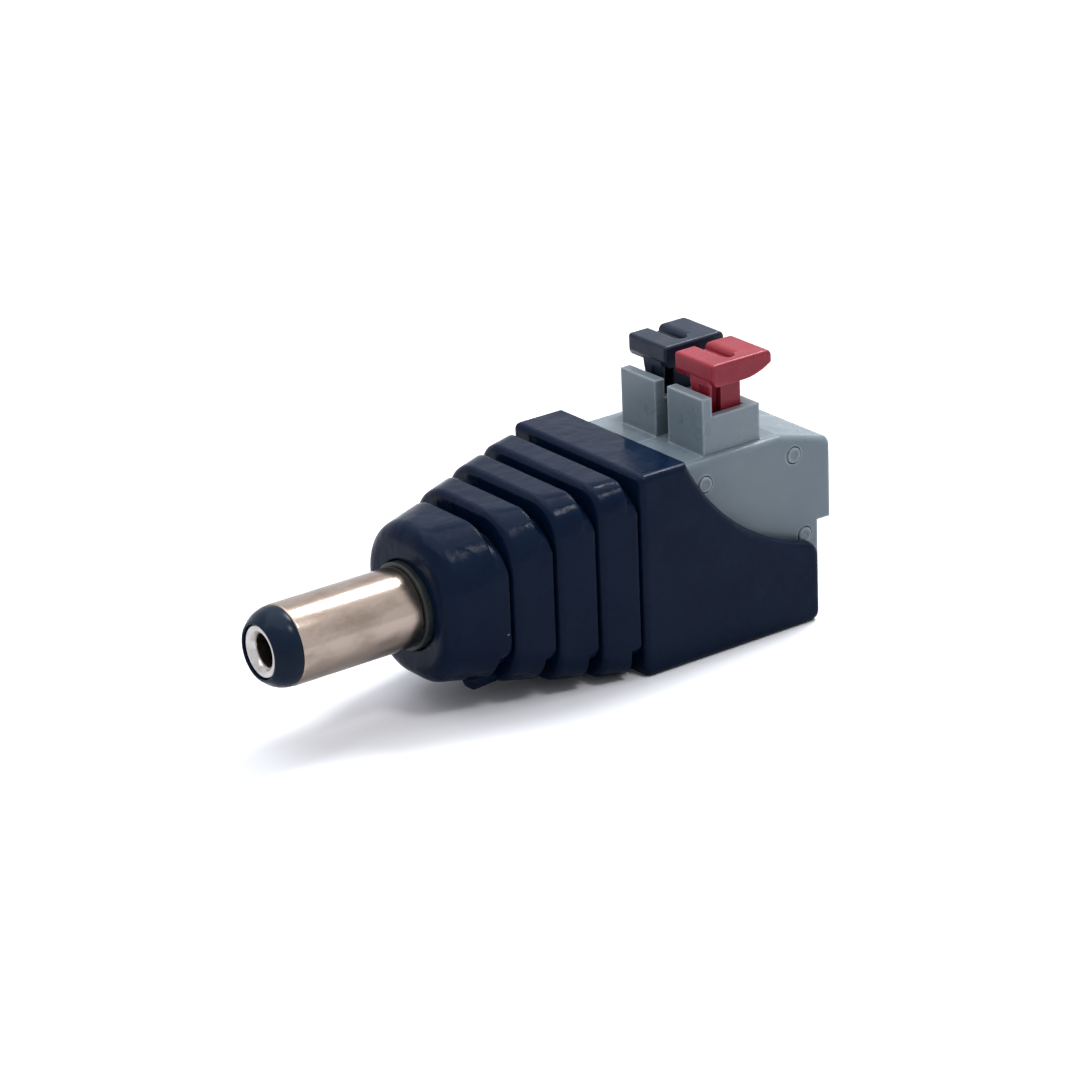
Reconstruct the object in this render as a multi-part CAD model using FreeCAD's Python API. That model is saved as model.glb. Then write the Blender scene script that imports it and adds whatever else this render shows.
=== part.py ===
import FreeCAD, Part
import math
import os

# Barrel plug with a two-pole push-button terminal block, in millimetres.
# X runs along the barrel from the plug's tip to the wire entries, Z is up.
# The origin is on the barrel's axis, where the sleeve comes out of its collar.

# Barrel
SLEEVE_R = 2.75
SLEEVE_WALL = 0.4
SLEEVE_LENGTH = 9.3
SLEEVE_SHANK_STEP = 0.17
COLLAR_PROUD = 0.5
TIP_LENGTH = 1.7
TIP_STEP = 0.04
TIP_FACE_BRIM = 0.18
TIP_SHOULDER_BACK = 0.62
TIP_SHOULDER_DROP = 0.21
TIP_TAPER_LENGTH = 1.3
CONTACT_BORE_R = 1.05
CONTACT_WALL = 0.4
CONTACT_LIP_R = 1.8
CONTACT_LIP_LENGTH = 0.35
CONTACT_SET_BACK = 0.12
CONTACT_MOUTH_CHAMFER = 0.35
CORE_FIT = 0.03

# Plug core behind the boot's front wall
COLLAR_R = 2.98
COLLAR_FIT = 0.12
COLLAR_FLANGE_R = 3.45
COLLAR_FLANGE_LENGTH = 1.3
SLEEVE_FLANGE_R = 3.1
SLEEVE_FLANGE_LENGTH = 0.4
WASHER_LENGTH = 0.8
TAG_THICKNESS = 0.4
TAG_WIDTH = 2.2
TAG_LENGTH = 4.6
TAG_OFFSET = 2.6
TAG_CLEARANCE = 0.1
RIVET_LENGTH = 0.5
RIVET_LIP_R = 1.9
LINK_R = 0.4
LINK_LAP = 2.0
FACE_GAP = 0.02

# Boot: one entry per ring, from the nose to the box
NOSE_WALL = 1.6
NOSE_ROUND = 1.25
RING_LENGTHS = (4.7, 3.15, 3.1, 3.15)
RING_FRONT_HALF_WIDTHS = (4.65, 5.55, 6.08, 6.55)
RING_FRONT_HALF_HEIGHTS = (5.25, 5.95, 6.45, 6.8)
RING_REAR_HALF_HEIGHTS = (5.5, 6.05, 6.55, 6.88)
RING_FRONT_CORNERS = (4.4, 3.5, 2.8, 2.0)
RING_REAR_CORNERS = (3.5, 2.7, 2.1, 1.5)
RING_FRONT_ROUND = 0.5
RING_SIDE_STEP = 0.1
GROOVE_WIDTH = 1.05
GROOVE_DEPTH = 1.15
GROOVE_FLOOR_CORNER = 1.0
GROOVE_LINE_WIDTH = 0.3
GROOVE_LINE_DEPTH = 0.45
CORE_OVERSIZE = 0.15
CHAMBER_R = 3.6

# Box that holds the terminal block
BOX_LENGTH = 15.0
BOX_WIDTH = 14.0
BOX_HEIGHT = 14.2
BOX_CORNER = 0.45
BOX_FRONT_WALL = 1.0
BOX_TOP_WALL = 0.7
BOX_FLOOR = 1.2
CHEEK_WALL = 1.2
TOP_LENGTH = 3.85
CHEEK_ARC_R = 15.7
CHEEK_END_HEIGHT = 5.6
CHEEK_END_ROUND = 1.1
CHEEK_RIM_ROUND = 0.3
BOX_HEEL_ROUND = 0.7
POCKET_LENGTH = 0.75
POCKET_SETBACK = 0.45
POCKET_HEIGHT = 0.45
POCKET_DEPTH = 0.45

# Terminal block
COVER_THICKNESS = 0.6
FAR_WALL_THICKNESS = 0.8
BLOCK_FIT = 0.1
BLOCK_FRONT_GAP = 2.4
BLOCK_OVERHANG = 1.95
BLOCK_STEP = 1.1
BLOCK_STEP_RISE = 5.35
RIDGE_SETBACK = 4.05
REAR_DROP = 1.1
SHOULDER_ROUND = 0.5
HOUSING_WALL = 0.9
PEG_R = 0.55
PEG_FIT = 0.07
PEG_SOCKET_DEPTH = 0.7
BOSS_R = 0.85
FRONT_PEG_SETBACK = 0.4
FRONT_PEG_DROP = 1.7
REAR_PEG_SETBACK = 3.05
REAR_PEG_DROP = 1.6
STEP_PEG_SETBACK = 1.1
STEP_PEG_DROP = 0.8
FLOOR_PEG_SETBACK = 1.1
FLOOR_PEG_RISE = 1.3

# Towers that guide the buttons
TOWER_REAR_REACH = 10.25
TOWER_LENGTH = 4.8
TOWER_RISE = 2.6
PLATE_RISE = 3.95
PLATE_THICKNESS = 0.78
TOWER_SIDE_WALL = 0.55
TOWER_REAR_WALL = 0.88
TOWER_SLOT_WIDTH = 3.15
TOWER_NOTCH = 1.0
THIN_WALL_LAP = 0.3

# Wire entries
WIRE_R = 1.3
WIRE_GUIDE_LENGTH = 2.0
WIRE_FUNNEL = 0.45

# Buttons
BUTTON_TRAVEL = 1.7
BUTTON_END_GAP = 0.2
STEM_SIDE_FIT = 0.17
STEM_BAR_GAP = 0.15
STEM_LENGTH = 2.7
STEM_REAR_FIT = 0.12
STEM_GROOVE_OFFSET = 0.3
STEM_GROOVE_LENGTH = 0.75
STEM_GROOVE_DEPTH = 0.55
STEM_FAR_INSET = 1.55
STEM_FAR_LEAN = 0.5
STEM_GUIDE_DROP = 0.3
STEM_PANEL_DEPTH = 0.12
STEM_PANEL_EDGE = 0.4
HEAD_HEIGHT = 1.55
HEAD_WIDTH = 4.1
FRONT_LIP = 0.08
FRONT_LIP_HEIGHT = 1.1
FRONT_LIP_FALL = 0.2
REAR_LIP = 2.28
REAR_LIP_RISE = 0.78
REAR_LIP_SWELL = 0.17
HEAD_EDGE_ROUND = 0.22
HEAD_REAR_ROUND = 0.45
HEAD_SLOT_SETBACK = 1.6
HEAD_SLOT_WIDTH = 1.05
HEAD_SLOT_DEPTH = 0.75
HEAD_SLOT_WALL = 0.62
HEAD_SLOT_ROUND = 0.5
SHOULDER_CATCH = 0.2
SHOULDER_HEIGHT = 0.75
SHOULDER_GAP = 0.05

# Contact bars and clamp springs
BAR_THICKNESS = 0.5
BAR_HEIGHT = 1.2
BAR_FIT = 0.05
BAR_CEILING_GAP = 0.8
CLAMP_PLATE_LENGTH = 1.5
CLAMP_PLATE_SETBACK = 0.2
PIN_REACH = 0.9
PIN_HEIGHT = 0.7
SPRING_THICKNESS = 0.3
SPRING_SIDE_GAP = 0.25
SPRING_BEND_R = 1.3
SPRING_REAR_GAP = 0.85
SPRING_FRONT_GAP = 2.2
SPRING_TIP_LAP = 0.5
SPRING_GAP = 0.05

# A point this near to a plane or an arc lies on it
ON_PLANE = 1e-6
ON_ARC = 1e-4

# Places worked out from the sizes above
NOSE_X = COLLAR_PROUD
BOX_X = NOSE_X + sum(RING_LENGTHS)
BOX_REAR = BOX_X + BOX_LENGTH
BOX_TOP = BOX_HEIGHT / 2
BOX_BASE = -BOX_HEIGHT / 2
BOX_SIDE = BOX_WIDTH / 2
CAVITY_SIDE = BOX_SIDE - CHEEK_WALL
CAVITY_FLOOR = BOX_BASE + BOX_FLOOR
CAVITY_TOP = BOX_TOP - BOX_TOP_WALL
CAVITY_X = BOX_X + BOX_FRONT_WALL
TOP_END = BOX_X + TOP_LENGTH
RIM_END = BOX_BASE + CHEEK_END_HEIGHT

SLEEVE_FRONT = -SLEEVE_LENGTH
SHANK_R = SLEEVE_R - SLEEVE_SHANK_STEP
TIP_FRONT = SLEEVE_FRONT - TIP_LENGTH
CONTACT_R = CONTACT_BORE_R + CONTACT_WALL
FLANGE_X = NOSE_X + NOSE_WALL + FACE_GAP
COLLAR_REAR = FLANGE_X + COLLAR_FLANGE_LENGTH
SLEEVE_END = COLLAR_REAR + FACE_GAP + SLEEVE_FLANGE_LENGTH
SLEEVE_TAG_X = SLEEVE_END + FACE_GAP
WASHER_R = TAG_OFFSET - TAG_CLEARANCE
WASHER_X = SLEEVE_TAG_X + TAG_THICKNESS + FACE_GAP
CENTRE_TAG_X = WASHER_X + WASHER_LENGTH + FACE_GAP
CONTACT_END = CENTRE_TAG_X + TAG_THICKNESS + FACE_GAP + RIVET_LENGTH
TAG_END = CENTRE_TAG_X + TAG_LENGTH

BLOCK_NEAR = -CAVITY_SIDE + BLOCK_FIT
BLOCK_FAR = CAVITY_SIDE - BLOCK_FIT
BLOCK_BASE = CAVITY_FLOOR + BLOCK_FIT
BLOCK_TOP = CAVITY_TOP - BLOCK_FIT
BLOCK_X = CAVITY_X + BLOCK_FRONT_GAP
BLOCK_REAR = BOX_REAR + BLOCK_OVERHANG
BLOCK_LOWER_REAR = BLOCK_REAR - BLOCK_STEP
BLOCK_STEP_Z = BLOCK_BASE + BLOCK_STEP_RISE
RIDGE_X = BLOCK_REAR - RIDGE_SETBACK
POLE_PITCH = (BLOCK_FAR - BLOCK_NEAR - COVER_THICKNESS - FAR_WALL_THICKNESS) / 2
POLE_NEAR = (BLOCK_NEAR + COVER_THICKNESS, BLOCK_NEAR + COVER_THICKNESS + POLE_PITCH)
SLOT_BACK = TOWER_SIDE_WALL + TOWER_SLOT_WIDTH

TOWER_X = BLOCK_REAR - TOWER_REAR_REACH
TOWER_REAR = TOWER_X + TOWER_LENGTH
TOWER_TOP = BLOCK_TOP + TOWER_RISE
PLATE_TOP = BLOCK_TOP + PLATE_RISE
SLOT_FRONT = TOWER_X + PLATE_THICKNESS
SLOT_REAR = TOWER_REAR - TOWER_REAR_WALL
CEILING = BLOCK_TOP - HOUSING_WALL
HOUSING_FLOOR = BLOCK_BASE + HOUSING_WALL
WIRE_Z = BLOCK_STEP_Z + (BLOCK_TOP - REAR_DROP - BLOCK_STEP_Z) / 2

STEM_REAR = SLOT_REAR - STEM_REAR_FIT
STEM_FRONT = STEM_REAR - STEM_LENGTH
HEAD_BASE = TOWER_TOP + BUTTON_TRAVEL + BUTTON_END_GAP
HEAD_TOP = HEAD_BASE + HEAD_HEIGHT
HEAD_FRONT = STEM_FRONT - FRONT_LIP
HEAD_REAR = STEM_REAR + REAR_LIP

BAR_TOP = CEILING - BAR_CEILING_GAP
BAR_BASE = BAR_TOP - BAR_HEIGHT
BAR_INNER = SLOT_BACK - BAR_FIT - BAR_THICKNESS
BAR_FRONT = BLOCK_X + HOUSING_WALL + BAR_FIT
PLATE_X = TOWER_REAR - CLAMP_PLATE_SETBACK
BAR_REAR = PLATE_X + CLAMP_PLATE_LENGTH
STEM_FAR = BAR_INNER - STEM_BAR_GAP
STEM_STEP = BAR_TOP + BUTTON_TRAVEL + STEM_BAR_GAP
PIN_X = BLOCK_X - PIN_REACH
PIN_Y = BAR_INNER + BAR_THICKNESS / 2
LINK_X = PIN_X - LINK_R - FACE_GAP
SPRING_FRONT = BLOCK_X + HOUSING_WALL + SPRING_FRONT_GAP
SPRING_REAR = BLOCK_LOWER_REAR - HOUSING_WALL - SPRING_REAR_GAP
LEG_START_Z = HOUSING_FLOOR + 2 * SPRING_BEND_R
LEG_TIP_X = PLATE_X + SPRING_TIP_LAP
LEG_TIP_Z = BAR_TOP - BAR_THICKNESS - SPRING_GAP

# Pegs of each housing as (x, z): two under the roof, one behind, one on the floor
UPPER_PEGS = ((TOWER_X - FRONT_PEG_SETBACK, BLOCK_TOP - FRONT_PEG_DROP),
              (BLOCK_REAR - REAR_PEG_SETBACK, BLOCK_TOP - REAR_PEG_DROP))
STEP_PEG = (BLOCK_LOWER_REAR - STEP_PEG_SETBACK, BLOCK_STEP_Z - STEP_PEG_DROP)
FLOOR_PEG = (BLOCK_X + FLOOR_PEG_SETBACK, BLOCK_BASE + FLOOR_PEG_RISE)
PEGS = UPPER_PEGS + (STEP_PEG, FLOOR_PEG)


def vec(x, y, z):
    """Point or direction in the part's frame."""
    return FreeCAD.Vector(x, y, z)


def block(x0, x1, y0, y1, z0, z1):
    """Box between two opposite corners."""
    return Part.makeBox(x1 - x0, y1 - y0, z1 - z0, vec(x0, y0, z0))


def rod(x0, x1, radius, y=0.0, z=0.0):
    """Cylinder along X."""
    return Part.makeCylinder(radius, x1 - x0, vec(x0, y, z), vec(1, 0, 0))


def cross_rod(x, z, y0, y1, radius):
    """Cylinder along Y."""
    return Part.makeCylinder(radius, y1 - y0, vec(x, y0, z), vec(0, 1, 0))


def turned(points):
    """Solid of revolution about X from (x, radius) points."""
    wire = Part.makePolygon([vec(x, 0, r) for x, r in points + points[:1]])
    return Part.Face(wire).revolve(vec(0, 0, 0), vec(1, 0, 0), 360)


def fused(solids):
    """Union of several solids, with the seams between coplanar faces removed."""
    return solids[0].fuse(solids[1:]).removeSplitter()


def edges_where(shape, test):
    """Edges of the shape whose every end meets the test."""
    return [e for e in shape.Edges if all(test(v.Point) for v in e.Vertexes)]


def edges_at(shape, x=None, y=None, z=None):
    """Edges that lie in each of the given planes."""
    def inside(p):
        places = ((p.x, x), (p.y, y), (p.z, z))
        return all(plane is None or abs(place - plane) < ON_PLANE for place, plane in places)
    return edges_where(shape, inside)


def section(x, half_width, half_height, corner):
    """Closed rounded rectangle in the plane at x, centred on the barrel's axis."""
    flat_y = half_width - corner
    flat_z = half_height - corner
    diagonal = corner * math.sqrt(0.5)
    edges = []
    for sy, sz in ((1, 1), (-1, 1), (-1, -1), (1, -1)):
        on_side = vec(x, sy * half_width, sz * flat_z)
        on_top = vec(x, sy * flat_y, sz * half_height)
        middle = vec(x, sy * (flat_y + diagonal), sz * (flat_z + diagonal))
        ends = (on_side, on_top) if sy == sz else (on_top, on_side)
        edges.append(Part.Arc(ends[0], middle, ends[1]).toShape())
    joined = []
    for i, arc in enumerate(edges):
        after = edges[(i + 1) % len(edges)]
        line = Part.LineSegment(arc.valueAt(arc.LastParameter), after.valueAt(after.FirstParameter))
        joined += [arc, line.toShape()]
    return Part.Wire(Part.__sortEdges__(joined))


def side_at(i, x0, x):
    """Half-width at x of the ring that starts at x0: its sides lean out towards the next ring."""
    front = RING_FRONT_HALF_WIDTHS[i]
    after = (RING_FRONT_HALF_WIDTHS + (BOX_SIDE,))[i + 1] - RING_SIDE_STEP
    return front + (after - front) * (x - x0) / RING_LENGTHS[i]


def ring(i, x0, x1):
    """One ring of the boot: rounder in front than behind, with a soft front edge."""
    front = section(x0, RING_FRONT_HALF_WIDTHS[i], RING_FRONT_HALF_HEIGHTS[i], RING_FRONT_CORNERS[i])
    rear = section(x1, side_at(i, x0, x1), RING_REAR_HALF_HEIGHTS[i], RING_REAR_CORNERS[i])
    solid = Part.makeLoft([front, rear], True, True)
    return solid.makeFillet(RING_FRONT_ROUND if i else NOSE_ROUND, edges_at(solid, x=x0))


def cores(i, x0, x1, end):
    """Core of the groove behind one ring: flush at the sides, with a thin line before the next ring."""
    full_height = RING_REAR_HALF_HEIGHTS[i]
    half_height = full_height - GROOVE_DEPTH
    corner = GROOVE_FLOOR_CORNER + RING_REAR_CORNERS[i] / 2
    inside = x1 - GROOVE_WIDTH
    line = end - GROOVE_LINE_WIDTH
    sides = [section(x, side_at(i, x0, x), full_height, RING_REAR_CORNERS[i]) for x in (x1, line)]
    floor = section(inside, side_at(i, x0, line) + CORE_OVERSIZE, half_height, corner)
    neck = section(inside, side_at(i, x0, inside) - GROOVE_LINE_DEPTH, half_height, corner)
    length = vec(end + GROOVE_WIDTH - inside, 0, 0)
    flush = Part.makeLoft(sides, True, True).common(Part.Face(floor).extrude(length))
    return [flush, Part.Face(neck).extrude(length)]


def boot():
    """The four rings and the cores in the grooves between them."""
    solids = []
    x = NOSE_X
    for i, length in enumerate(RING_LENGTHS):
        rear = x + length - GROOVE_WIDTH
        solids.append(ring(i, x, rear))
        solids += cores(i, x, rear, x + length)
        x += length
    return fused(solids)


def cheek_centre():
    """Centre of the arc along the curved rims, as a point in the plane y = 0."""
    top = vec(TOP_END, 0, BOX_TOP)
    end = vec(BOX_REAR, 0, RIM_END)
    chord = end - top
    rise = math.sqrt(CHEEK_ARC_R ** 2 - (chord.Length / 2) ** 2)
    return (top + end) * 0.5 + vec(-chord.z, 0, chord.x).normalize() * rise


def cheek_cutter():
    """What is taken off above the curved rims of the box, as one solid across its width."""
    centre = cheek_centre()
    depth = vec(0, 2 * BOX_WIDTH, 0)
    disc = Part.makeCylinder(CHEEK_ARC_R, depth.Length, centre - depth * 0.5, depth)
    beyond = BOX_REAR + BOX_LENGTH
    above = BOX_TOP + BOX_HEIGHT
    behind_top = block(TOP_END, beyond, -BOX_WIDTH, BOX_WIDTH, RIM_END, above)
    corner = [vec(TOP_END, -BOX_WIDTH, BOX_TOP), vec(BOX_REAR, -BOX_WIDTH, RIM_END),
              vec(BOX_REAR, -BOX_WIDTH, above), vec(TOP_END, -BOX_WIDTH, above)]
    over_chord = Part.Face(Part.makePolygon(corner + corner[:1])).extrude(depth)
    return over_chord.fuse(disc.common(behind_top)).removeSplitter()


def outer_box():
    """The box, open at its rear above the curved rims, with all its outer edges rounded."""
    solid = block(BOX_X, BOX_REAR, -BOX_SIDE, BOX_SIDE, BOX_BASE, BOX_TOP).cut(cheek_cutter())
    solid = solid.makeFillet(CHEEK_END_ROUND, edges_at(solid, x=BOX_REAR, z=RIM_END))
    solid = solid.makeFillet(BOX_HEEL_ROUND, edges_at(solid, x=BOX_REAR, z=BOX_BASE))
    front = edges_at(solid, x=BOX_X)
    sides = edges_at(solid, y=-BOX_SIDE) + edges_at(solid, y=BOX_SIDE)
    outer = front + [e for e in sides if not any(e.isSame(f) for f in front)]
    return solid.makeFillet(BOX_CORNER, outer)


def rounded_rims(solid):
    """Rounds the inner long edge of each curved rim."""
    centre = cheek_centre()

    def on_rim(p):
        reach = math.hypot(p.x - centre.x, p.z - centre.z)
        return abs(reach - CHEEK_ARC_R) < ON_ARC and abs(abs(p.y) - CAVITY_SIDE) < ON_PLANE
    rims = [e for e in edges_where(solid, on_rim) if abs(e.Vertexes[0].Y - e.Vertexes[-1].Y) < ON_PLANE]
    return solid.makeFillet(CHEEK_RIM_ROUND, rims)


def rim_pocket():
    """Small pocket inside the near rim, in front of the peg beside it."""
    peg_x, peg_z = STEP_PEG
    x1 = peg_x - POCKET_SETBACK
    return block(x1 - POCKET_LENGTH, x1, -CAVITY_SIDE - POCKET_DEPTH, -CAVITY_SIDE + POCKET_DEPTH,
                 peg_z - POCKET_HEIGHT, peg_z + PEG_R)


def shell():
    """The one-piece black moulding: ringed boot in front, open box behind."""
    solid = boot().fuse(outer_box()).removeSplitter()
    cavity = block(CAVITY_X, BOX_REAR + BOX_LENGTH, -CAVITY_SIDE, CAVITY_SIDE, CAVITY_FLOOR, CAVITY_TOP)
    solid = rounded_rims(solid.cut(cavity))
    nose_hole = rod(NOSE_X - NOSE_WALL, NOSE_X + 2 * NOSE_WALL, COLLAR_R + COLLAR_FIT)
    chamber = rod(NOSE_X + NOSE_WALL, CAVITY_X + BOX_FRONT_WALL, CHAMBER_R)
    return solid.cut([nose_hole, chamber, rim_pocket()])


def barrel_sleeve():
    """Plated outer contact: a tube with a slimmer shank in the collar and a flange at its rear end."""
    inner = SLEEVE_R - SLEEVE_WALL
    flange_x = SLEEVE_END - SLEEVE_FLANGE_LENGTH
    return turned([(SLEEVE_FRONT, inner), (SLEEVE_FRONT, SLEEVE_R), (0.0, SLEEVE_R), (0.0, SHANK_R),
                   (flange_x, SHANK_R), (flange_x, SLEEVE_FLANGE_R), (SLEEVE_END, SLEEVE_FLANGE_R),
                   (SLEEVE_END, inner)])


def tip_insulator():
    """Black tube that parts the two contacts, with a tapering head in front of the sleeve."""
    outer = SLEEVE_R - SLEEVE_WALL - CORE_FIT
    inner = CONTACT_R + CORE_FIT
    brim_x = SLEEVE_FRONT - FACE_GAP
    rear = WASHER_X - FACE_GAP
    head_r = SLEEVE_R - TIP_STEP
    head = turned([(TIP_FRONT, inner), (TIP_FRONT, CONTACT_LIP_R + TIP_FACE_BRIM),
                   (TIP_FRONT + TIP_SHOULDER_BACK, head_r - TIP_SHOULDER_DROP),
                   (TIP_FRONT + TIP_TAPER_LENGTH, head_r), (brim_x, head_r),
                   (brim_x, outer), (rear, outer), (rear, inner)])
    lip_seat = rod(TIP_FRONT - TIP_LENGTH, TIP_FRONT + CONTACT_SET_BACK + CONTACT_LIP_LENGTH + FACE_GAP,
                   CONTACT_LIP_R + CORE_FIT)
    return head.cut(lip_seat)


def centre_contact():
    """Inner contact tube with a flared mouth in front and a rivet lip behind."""
    mouth = TIP_FRONT + CONTACT_SET_BACK
    lip_rear = mouth + CONTACT_LIP_LENGTH
    lip_edge = CONTACT_BORE_R + CONTACT_MOUTH_CHAMFER
    rivet_x = CONTACT_END - RIVET_LENGTH
    bore_x = mouth + CONTACT_MOUTH_CHAMFER
    return turned([(bore_x, CONTACT_BORE_R), (mouth, lip_edge), (mouth, CONTACT_LIP_R),
                   (lip_rear, CONTACT_LIP_R), (lip_rear, CONTACT_R), (rivet_x, CONTACT_R),
                   (rivet_x, RIVET_LIP_R), (CONTACT_END, RIVET_LIP_R), (CONTACT_END, CONTACT_BORE_R)])


def rear_collar():
    """Insulating bush that carries the sleeve in the boot's front hole."""
    bore = SHANK_R + CORE_FIT
    front = FACE_GAP
    return turned([(front, bore), (front, COLLAR_R), (FLANGE_X, COLLAR_R),
                   (FLANGE_X, COLLAR_FLANGE_R), (COLLAR_REAR, COLLAR_FLANGE_R), (COLLAR_REAR, bore)])


def insulating_washer():
    """Washer between the two solder tags."""
    inner = CONTACT_R + CORE_FIT
    rear = WASHER_X + WASHER_LENGTH
    return turned([(WASHER_X, inner), (WASHER_X, WASHER_R), (rear, WASHER_R), (rear, inner)])


def solder_tag(x, radius, bore, side):
    """Ring with a tongue bent rearwards; side is +1 for above the axis and -1 for below."""
    hole = rod(x - TAG_THICKNESS, x + 2 * TAG_THICKNESS, bore)
    outer = side * (TAG_OFFSET + TAG_THICKNESS)
    low, high = sorted((0.0, outer))
    strip = block(x, x + TAG_THICKNESS, -TAG_WIDTH / 2, TAG_WIDTH / 2, low, high)
    low, high = sorted((side * TAG_OFFSET, outer))
    tongue = block(x, TAG_END, -TAG_WIDTH / 2, TAG_WIDTH / 2, low, high)
    return fused([rod(x, x + TAG_THICKNESS, radius), strip, tongue]).cut(hole)


def sleeve_tag():
    """Tag that rests on the sleeve's flange."""
    return solder_tag(SLEEVE_TAG_X, SLEEVE_FLANGE_R, SLEEVE_R - SLEEVE_WALL, 1)


def centre_tag():
    """Tag that is riveted to the centre contact."""
    return solder_tag(CENTRE_TAG_X, WASHER_R, CONTACT_R + CORE_FIT, -1)


def link(side, y0):
    """Tinned wire from a solder tag's tongue straight back, then across to the pin of a contact bar."""
    tongue_z = side * (TAG_OFFSET - LINK_R - FACE_GAP)
    route = [vec(TAG_END - LINK_LAP, 0, tongue_z), vec(LINK_X, 0, tongue_z),
             vec(LINK_X, y0 + PIN_Y, BAR_BASE + PIN_HEIGHT / 2)]
    solids = [Part.makeSphere(LINK_R, point) for point in route]
    for start, end in zip(route, route[1:]):
        solids.append(Part.makeCylinder(LINK_R, (end - start).Length, start, end - start))
    return fused(solids)


def side_profile(grow=0.0):
    """Closed outline of the terminal block seen from the side, moved outwards by grow."""
    corners = [(BLOCK_X, BLOCK_BASE), (BLOCK_LOWER_REAR, BLOCK_BASE), (BLOCK_LOWER_REAR, BLOCK_STEP_Z),
               (BLOCK_REAR, BLOCK_STEP_Z), (BLOCK_REAR, BLOCK_TOP - REAR_DROP), (RIDGE_X, BLOCK_TOP),
               (BLOCK_X, BLOCK_TOP)]
    wire = Part.makePolygon([vec(x, 0, z) for x, z in corners + corners[:1]])
    return wire.makeOffset2D(grow, 2) if grow else wire


def profile_solid(y0, y1, grow=0.0):
    """The side profile as a slab between two planes across the width."""
    face = Part.Face(side_profile(grow))
    face.translate(vec(0, y0, 0))
    return face.extrude(vec(0, y1 - y0, 0))


def tower(y0):
    """Guide for one button: a tall front plate and three low walls on top of a housing."""
    notch_x = TOWER_X + TOWER_NOTCH
    slot_back = y0 + SLOT_BACK
    next_y = y0 + POLE_PITCH
    plate = block(TOWER_X, SLOT_FRONT, y0, slot_back, CEILING, PLATE_TOP)
    near = block(SLOT_FRONT, TOWER_REAR, y0, y0 + TOWER_SIDE_WALL, CEILING, TOWER_TOP)
    thin = block(SLOT_FRONT - THIN_WALL_LAP, notch_x, slot_back, slot_back + TOWER_SIDE_WALL,
                 CEILING, TOWER_TOP)
    thick = block(notch_x, TOWER_REAR, slot_back, next_y, CEILING, TOWER_TOP)
    rear = block(SLOT_REAR, TOWER_REAR, y0, next_y, CEILING, TOWER_TOP)
    return [plate, near, thin, thick, rear]


def wire_axis(y0):
    """Place across the width of the wire entry and the button of the pole that starts at y0."""
    return y0 + TOWER_SIDE_WALL + TOWER_SLOT_WIDTH / 2


def pegs_and_bosses(y0):
    """Pegs of a housing, which stand through the next plate, on bosses across its chamber."""
    back = y0 + SLOT_BACK
    solids = [cross_rod(x, z, y0 - COVER_THICKNESS, y0 + HOUSING_WALL, PEG_R) for x, z in PEGS]
    solids += [cross_rod(x, z, y0, back, BOSS_R) for x, z in PEGS]
    solids += [block(x - BOSS_R, x + BOSS_R, y0, back, z, CEILING) for x, z in UPPER_PEGS]
    return solids


def wire_guide(y0):
    """Thick stretch of the rear wall round the wire entry."""
    return block(BLOCK_REAR - WIRE_GUIDE_LENGTH, BLOCK_REAR - HOUSING_WALL / 2, y0, y0 + SLOT_BACK,
                 BLOCK_STEP_Z, BLOCK_TOP - REAR_DROP)


def bar_channel(y0):
    """Room for the contact bar along the chamber's far wall, and for its pin in the front wall."""
    inner = y0 + BAR_INNER - BAR_FIT
    back = y0 + SLOT_BACK
    base = BAR_BASE - BAR_FIT
    strip = block(BLOCK_X + HOUSING_WALL, BAR_REAR + BAR_FIT, inner, back, base, BAR_TOP + BAR_FIT)
    pin = block(PIN_X, BLOCK_X + 2 * HOUSING_WALL, inner, back, base, BAR_BASE + PIN_HEIGHT + BAR_FIT)
    return [strip, pin]


def wire_entry(y0):
    """Round bore for a wire, with a funnel at its mouth."""
    y = wire_axis(y0)
    bore = rod(BLOCK_REAR - 2 * WIRE_GUIDE_LENGTH, BLOCK_REAR + WIRE_FUNNEL, WIRE_R, y, WIRE_Z)
    funnel = Part.makeCone(WIRE_R, WIRE_R + WIRE_FUNNEL, WIRE_FUNNEL,
                           vec(BLOCK_REAR - WIRE_FUNNEL, y, WIRE_Z), vec(1, 0, 0))
    return [bore, funnel]


def housing(y0, y1):
    """Housing of one pole, open on its near side, with a tower, a wire entry and pegs."""
    solid = profile_solid(y0, y1)
    solid = solid.cut(profile_solid(y0 - HOUSING_WALL, y0 + SLOT_BACK, -HOUSING_WALL))
    solid = fused([solid, wire_guide(y0)] + pegs_and_bosses(y0) + tower(y0))
    slot = block(SLOT_FRONT, SLOT_REAR, y0 + TOWER_SIDE_WALL, y0 + SLOT_BACK,
                 CEILING - HOUSING_WALL, PLATE_TOP)
    return solid.cut([slot] + bar_channel(y0) + wire_entry(y0))


def peg_holes(y0, y1):
    """Holes for the pegs of the housing on the far side of a wall."""
    return [cross_rod(x, z, y0, y1, PEG_R + PEG_FIT) for x, z in PEGS]


def near_housing():
    """Housing of the pole with the red button, with sockets for the far housing's pegs."""
    solid = housing(*POLE_NEAR)
    wall_face = POLE_NEAR[1]
    return solid.cut(peg_holes(wall_face - PEG_SOCKET_DEPTH, wall_face + PEG_SOCKET_DEPTH))


def far_housing():
    """Housing of the pole with the black button, with the rounded far wall of the block."""
    return rounded_shoulder(housing(POLE_NEAR[1], BLOCK_FAR), BLOCK_FAR)


def rounded_shoulder(solid, y):
    """Rounds the top outer edge of the block where its side lies in the plane at y."""
    def on_top(p):
        return abs(p.y - y) < ON_PLANE and p.z > BLOCK_TOP - REAR_DROP - ON_PLANE
    return solid.makeFillet(SHOULDER_ROUND, edges_where(solid, on_top))


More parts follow.
